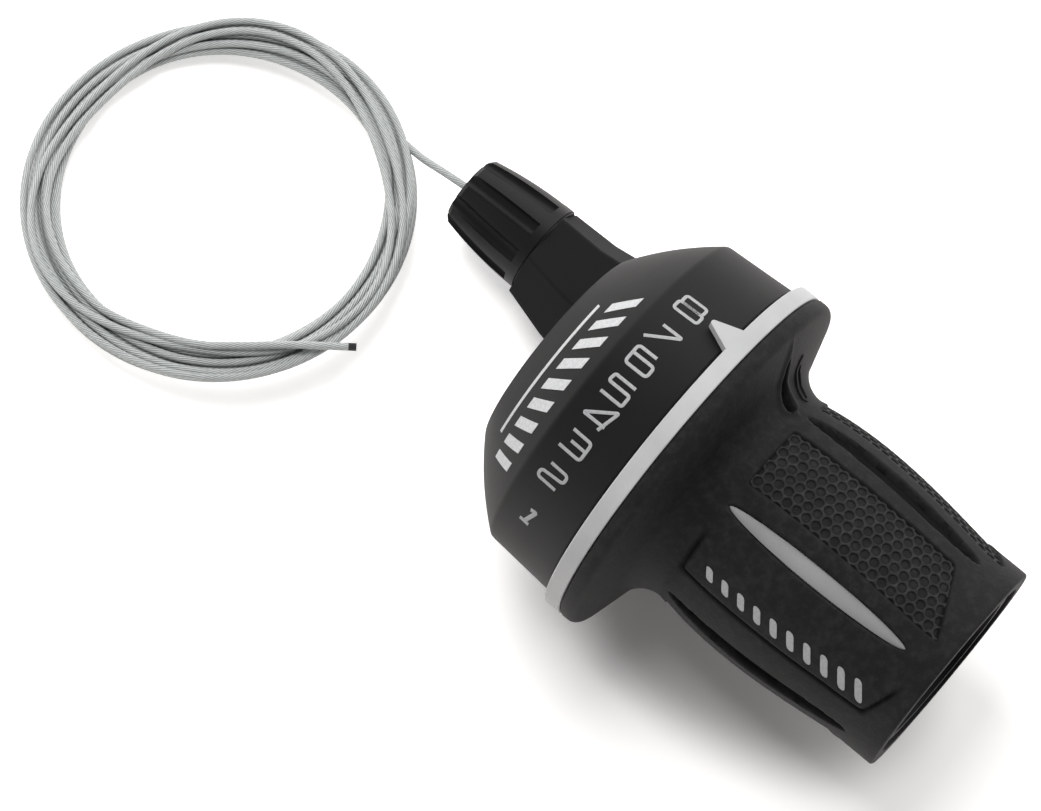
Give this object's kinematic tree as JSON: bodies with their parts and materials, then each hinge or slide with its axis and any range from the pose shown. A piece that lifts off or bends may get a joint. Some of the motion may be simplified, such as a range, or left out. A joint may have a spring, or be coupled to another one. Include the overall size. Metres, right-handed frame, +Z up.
{
  "type": "twist grip shifter",
  "caption": "Twist grip gear shifter for a straight handlebar: cone housing with number band, indicator ring, rubber grip, barrel adjuster and a coiled gear cable.",
  "frame": {"origin": "on the handlebar bore's axis, in the plane of the indicator ring", "axes": "+X along the handlebar bore towards its open end, +Y forward, +Z up, as fitted to the right-hand end of a handlebar"},
  "size_m": [0.1506, 0.0619, 0.0548],
  "materials": {
    "housing_plastic": "satin moulded charcoal",
    "grey_plastic": "satin moulded light grey",
    "grip_rubber": "matte moulded rubber",
    "black_plastic": "satin moulded black",
    "spring_steel": "bright spring steel",
    "screw_steel": "plated steel",
    "cable_steel": "galvanised stranded wire"
  },
  "bodies": {
    "housing": {"housing": "housing_plastic", "retaining_ring": "spring_steel", "detent_spring": "spring_steel", "clamp_screw": "screw_steel", "clamp_nut": "screw_steel", "cable_inner": "cable_steel", "cable_lead": "cable_steel", "cable_coil": "cable_steel", "cable_tip": "cable_steel"},
    "grip": {"grip_core": "grey_plastic", "rubber_grip": "grip_rubber", "cable_head": "cable_steel"},
    "adjuster": {"barrel_adjuster": "black_plastic"}
  },
  "joints": [
    {"name": "grip_twist", "type": "hinge", "parent": "housing", "child": "grip", "pos_m": [0, 0, 0], "axis": [1, 0, 0], "range_deg": [0, 84.9], "deforming": ["detent_spring"]},
    {"name": "adjuster_turn", "type": "hinge", "parent": "housing", "child": "adjuster", "pos_m": [-0.0428, 0.01666, -0.01513], "axis": [-1, 0, 0], "range_deg": [0, 900]}
  ]
}
